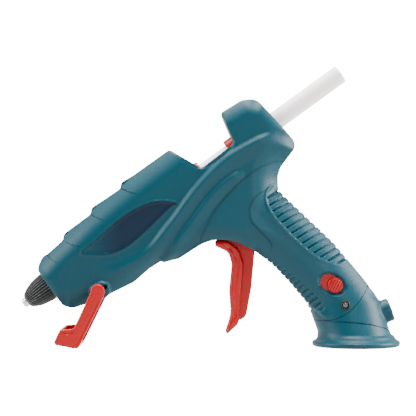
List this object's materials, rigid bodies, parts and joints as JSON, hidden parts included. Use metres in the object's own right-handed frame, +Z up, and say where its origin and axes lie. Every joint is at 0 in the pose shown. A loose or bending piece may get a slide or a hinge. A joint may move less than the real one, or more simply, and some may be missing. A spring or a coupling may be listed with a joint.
{
  "type": "glue gun",
  "caption": "Corded hot glue gun on a round standing foot, with a sloping barrel, squeeze trigger, folding front stand, slide switch, pilot lamp and a stick of glue.",
  "frame": {"origin": "centre of the flat underside of the round foot, on the surface it stands on", "axes": "+X to the rear (the nozzle points to -X and down), +Z up, +Y to the user's right; the switch is on the -Y side"},
  "size_m": [0.2272, 0.0528, 0.1679],
  "materials": {
    "shell_plastic": "fine spark-eroded texture, satin",
    "red_plastic": "moulded, glossy",
    "black_plastic": "moulded, satin",
    "pad_rubber": "moulded, matt",
    "sleeve_silicone": "moulded silicone, satin",
    "red_silicone": "moulded silicone, satin",
    "glue": "cast EVA, translucent white",
    "nozzle_metal": "turned",
    "chamber_metal": "die cast",
    "steel": "bright zinc plated",
    "brass": "turned",
    "heater_ceramic": "fired, insulated with film",
    "lens_plastic": "clear moulded",
    "board": "glass fibre board",
    "wire_insulation": "silicone insulated"
  },
  "bodies": {
    "housing": {"left_shell": "shell_plastic", "right_shell": "shell_plastic", "foot_moulding": "shell_plastic", "foot_plate": "black_plastic", "foot_pad": "pad_rubber", "foot_screws": "steel", "shell_screws": "steel", "nozzle_tip": "nozzle_metal", "nozzle_sleeve": "sleeve_silicone", "check_ball": "steel", "check_spring": "steel", "melt_chamber": "chamber_metal", "ptc_heater": "heater_ceramic", "heater_clip": "steel", "chamber_front_ring": "sleeve_silicone", "chamber_rear_ring": "sleeve_silicone", "inlet_sleeve": "red_silicone", "sleeve_clamp": "steel", "trigger_pivot_pin": "steel", "switch_body": "black_plastic", "lamp_bezel": "black_plastic", "lamp_lens": "lens_plastic", "circuit_board": "board", "power_inlet": "black_plastic", "inlet_pins": "brass", "live_wire": "wire_insulation", "switched_wire": "wire_insulation", "neutral_wire": "wire_insulation"},
    "trigger": {"trigger": "red_plastic", "return_spring": "steel"},
    "carriage": {"carriage": "red_plastic", "drive_pin": "steel", "gripper_pin": "steel"},
    "gripper": {"gripper_plate": "steel"},
    "glue_stick": {"glue_stick": "glue"},
    "stand": {"stand": "red_plastic"},
    "switch": {"switch_knob": "red_plastic", "switch_slider": "red_plastic"}
  },
  "joints": [
    {"name": "trigger_pull", "type": "hinge", "parent": "housing", "child": "trigger", "pos_m": [-0.066, 0, 0.076], "axis": [0, -1, 0], "range_deg": [0, 22], "stiffness_Nm_per_rad": 0.3, "springref_deg": -28.65},
    {"name": "carriage_feed", "type": "slide", "parent": "housing", "child": "carriage", "axis": [-0.809, 0, -0.5878], "range_m": [0, 0.01]},
    {"name": "gripper_tilt", "type": "hinge", "parent": "carriage", "child": "gripper", "pos_m": [-0.05993, 0, 0.11313], "axis": [0, 1, 0], "range_deg": [0, 5]},
    {"name": "stick_slide", "type": "slide", "parent": "housing", "child": "glue_stick", "axis": [-0.809, 0, -0.5878], "range_m": [-0.165, 0.02]},
    {"name": "stand_fold", "type": "hinge", "parent": "housing", "child": "stand", "pos_m": [-0.1537, 0, 0.0337], "axis": [0, -1, 0], "range_deg": [0, 118]},
    {"name": "switch_slide", "type": "slide", "parent": "housing", "child": "switch", "axis": [-0.8988, 0, 0.4384], "range_m": [0, 0.0044]}
  ],
  "couplings": [
    {"joint": "carriage_feed", "follows": "trigger_pull", "m_per_rad": 0.025788},
    {"joint": "gripper_tilt", "follows": "trigger_pull", "ratio": 0.22273}
  ]
}
